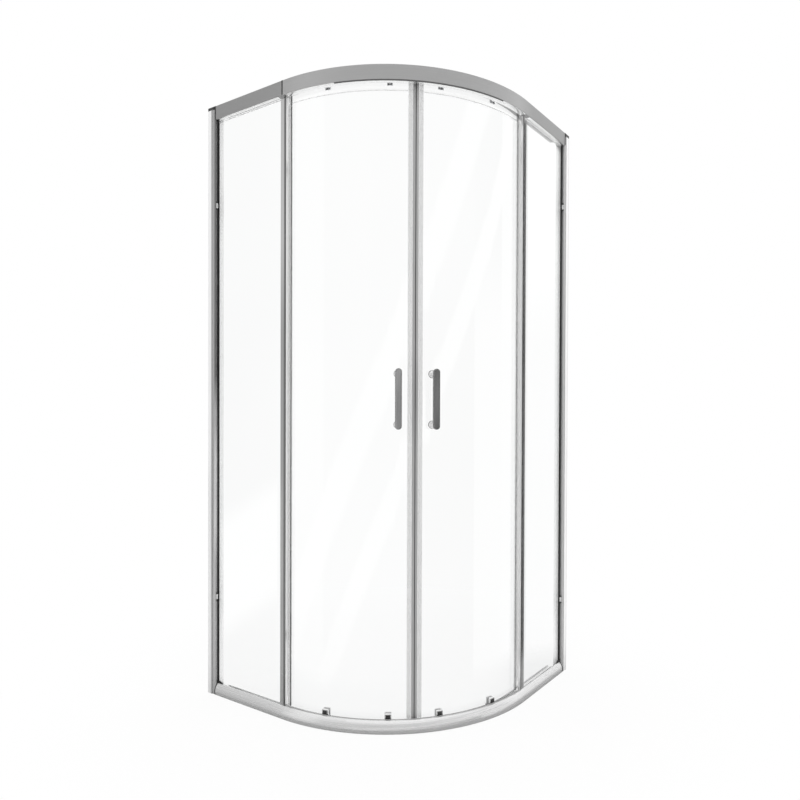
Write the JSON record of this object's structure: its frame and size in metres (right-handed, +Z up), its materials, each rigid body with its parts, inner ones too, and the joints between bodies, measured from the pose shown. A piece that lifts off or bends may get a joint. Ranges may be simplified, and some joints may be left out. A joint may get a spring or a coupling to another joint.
{
  "type": "quadrant shower enclosure",
  "caption": "Quarter-round shower enclosure front with flat fixed glass panes, bent sliding glass doors on rollers, metal rails, wall profiles and upright bar handles.",
  "frame": {"origin": "centre of the square footprint, on the floor", "axes": "+Z up; the side wall is at -X and the back wall at +Y, and the round corner faces +X and -Y"},
  "size_m": [0.9, 0.9, 1.95],
  "materials": {
    "anodised_aluminium": "matt anodised",
    "black_rubber": "matt",
    "chrome_plate": "polished",
    "clear_glass": "clear",
    "clear_pvc": "translucent",
    "dark_plastic": "matt",
    "grey_magnet": "matt",
    "white_nylon": "matt",
    "zinc_steel": "plain"
  },
  "bodies": {
    "frame": {"bottom_rail": "anodised_aluminium", "door_stops": "black_rubber", "jamb_clips": "chrome_plate", "left_fixed_edge_profile": "anodised_aluminium", "left_fixed_edge_seal": "clear_pvc", "left_fixed_glass": "clear_glass", "left_glazing_strips": "black_rubber", "left_jamb_gasket": "black_rubber", "left_jamb_profile": "anodised_aluminium", "left_wall_profile": "anodised_aluminium", "rail_end_blocks": "dark_plastic", "rail_end_seals": "black_rubber", "rail_screws": "zinc_steel", "right_fixed_edge_profile": "anodised_aluminium", "right_fixed_edge_seal": "clear_pvc", "right_fixed_glass": "clear_glass", "right_glazing_strips": "black_rubber", "right_jamb_gasket": "black_rubber", "right_jamb_profile": "anodised_aluminium", "right_wall_profile": "anodised_aluminium", "top_rail": "anodised_aluminium", "wall_caps": "dark_plastic"},
    "left_door": {"left_door_glass": "clear_glass", "left_drip_seal": "clear_pvc", "left_guide_bezels": "chrome_plate", "left_guide_housings": "white_nylon", "left_handle_bar": "chrome_plate", "left_handle_nuts": "chrome_plate", "left_handle_posts": "chrome_plate", "left_hanger_brackets": "zinc_steel", "left_magnet_carrier": "clear_pvc", "left_magnet_strip": "grey_magnet", "left_roller_axles": "zinc_steel", "left_roller_caps": "chrome_plate", "left_trailing_strip": "clear_pvc"},
    "right_door": {"right_door_glass": "clear_glass", "right_drip_seal": "clear_pvc", "right_guide_bezels": "chrome_plate", "right_guide_housings": "white_nylon", "right_handle_bar": "chrome_plate", "right_handle_nuts": "chrome_plate", "right_handle_posts": "chrome_plate", "right_hanger_brackets": "zinc_steel", "right_magnet_carrier": "clear_pvc", "right_magnet_strip": "grey_magnet", "right_roller_axles": "zinc_steel", "right_roller_caps": "chrome_plate", "right_trailing_strip": "clear_pvc"},
    "left_bottom_wheel_leading_body": {"left_bottom_wheel_leading": "white_nylon"},
    "left_bottom_wheel_trailing_body": {"left_bottom_wheel_trailing": "white_nylon"},
    "left_button_leading_body": {"left_button_leading": "dark_plastic"},
    "left_button_trailing_body": {"left_button_trailing": "dark_plastic"},
    "left_top_wheel_leading_body": {"left_top_wheel_leading": "white_nylon"},
    "left_top_wheel_trailing_body": {"left_top_wheel_trailing": "white_nylon"},
    "right_bottom_wheel_leading_body": {"right_bottom_wheel_leading": "white_nylon"},
    "right_bottom_wheel_trailing_body": {"right_bottom_wheel_trailing": "white_nylon"},
    "right_button_leading_body": {"right_button_leading": "dark_plastic"},
    "right_button_trailing_body": {"right_button_trailing": "dark_plastic"},
    "right_top_wheel_leading_body": {"right_top_wheel_leading": "white_nylon"},
    "right_top_wheel_trailing_body": {"right_top_wheel_trailing": "white_nylon"}
  },
  "joints": [
    {"name": "left_door_slide", "type": "hinge", "parent": "frame", "child": "left_door", "pos_m": [-0.1, 0.1, 0.975], "axis": [0, 0, -1], "range_deg": [0, 22.25]},
    {"name": "left_top_wheel_leading_spin", "type": "hinge", "parent": "left_door", "child": "left_top_wheel_leading_body", "pos_m": [0.19618, -0.30172, 1.9373], "axis": [0.5934, -0.8049, 0], "continuous": true},
    {"name": "left_bottom_wheel_leading_spin", "type": "hinge", "parent": "left_door", "child": "left_bottom_wheel_leading_body", "pos_m": [0.19618, -0.30172, 0.0203], "axis": [0.5934, -0.8049, 0], "continuous": true},
    {"name": "left_button_leading_press", "type": "slide", "parent": "left_door", "child": "left_button_leading_body", "axis": [-0.5934, 0.8049, 0], "range_m": [0, 0.0025], "stiffness_N_per_m": 400},
    {"name": "left_top_wheel_trailing_spin", "type": "hinge", "parent": "left_door", "child": "left_top_wheel_trailing_body", "pos_m": [0.03071, -0.38168, 1.9373], "axis": [0.2619, -0.9651, 0], "continuous": true},
    {"name": "left_bottom_wheel_trailing_spin", "type": "hinge", "parent": "left_door", "child": "left_bottom_wheel_trailing_body", "pos_m": [0.03071, -0.38168, 0.0203], "axis": [0.2619, -0.9651, 0], "continuous": true},
    {"name": "left_button_trailing_press", "type": "slide", "parent": "left_door", "child": "left_button_trailing_body", "axis": [-0.2619, 0.9651, 0], "range_m": [0, 0.0025], "stiffness_N_per_m": 400},
    {"name": "right_door_slide", "type": "hinge", "parent": "frame", "child": "right_door", "pos_m": [-0.1, 0.1, 0.975], "axis": [0, 0, 1], "range_deg": [0, 22.25]},
    {"name": "right_top_wheel_leading_spin", "type": "hinge", "parent": "right_door", "child": "right_top_wheel_leading_body", "pos_m": [0.30172, -0.19618, 1.9373], "axis": [-0.8049, 0.5934, 0], "continuous": true},
    {"name": "right_bottom_wheel_leading_spin", "type": "hinge", "parent": "right_door", "child": "right_bottom_wheel_leading_body", "pos_m": [0.30172, -0.19618, 0.0203], "axis": [-0.8049, 0.5934, 0], "continuous": true},
    {"name": "right_button_leading_press", "type": "slide", "parent": "right_door", "child": "right_button_leading_body", "axis": [-0.8049, 0.5934, 0], "range_m": [0, 0.0025], "stiffness_N_per_m": 400},
    {"name": "right_top_wheel_trailing_spin", "type": "hinge", "parent": "right_door", "child": "right_top_wheel_trailing_body", "pos_m": [0.38168, -0.03071, 1.9373], "axis": [-0.9651, 0.2619, 0], "continuous": true},
    {"name": "right_bottom_wheel_trailing_spin", "type": "hinge", "parent": "right_door", "child": "right_bottom_wheel_trailing_body", "pos_m": [0.38168, -0.03071, 0.0203], "axis": [-0.9651, 0.2619, 0], "continuous": true},
    {"name": "right_button_trailing_press", "type": "slide", "parent": "right_door", "child": "right_button_trailing_body", "axis": [-0.9651, 0.2619, 0], "range_m": [0, 0.0025], "stiffness_N_per_m": 400}
  ],
  "couplings": [
    {"joint": "left_top_wheel_leading_spin", "follows": "left_door_slide", "ratio": 62.388},
    {"joint": "left_bottom_wheel_leading_spin", "follows": "left_door_slide", "ratio": 62.388},
    {"joint": "left_top_wheel_trailing_spin", "follows": "left_door_slide", "ratio": 62.388},
    {"joint": "left_bottom_wheel_trailing_spin", "follows": "left_door_slide", "ratio": 62.388},
    {"joint": "right_top_wheel_leading_spin", "follows": "right_door_slide", "ratio": 62.388},
    {"joint": "right_bottom_wheel_leading_spin", "follows": "right_door_slide", "ratio": 62.388},
    {"joint": "right_top_wheel_trailing_spin", "follows": "right_door_slide", "ratio": 62.388},
    {"joint": "right_bottom_wheel_trailing_spin", "follows": "right_door_slide", "ratio": 62.388}
  ]
}
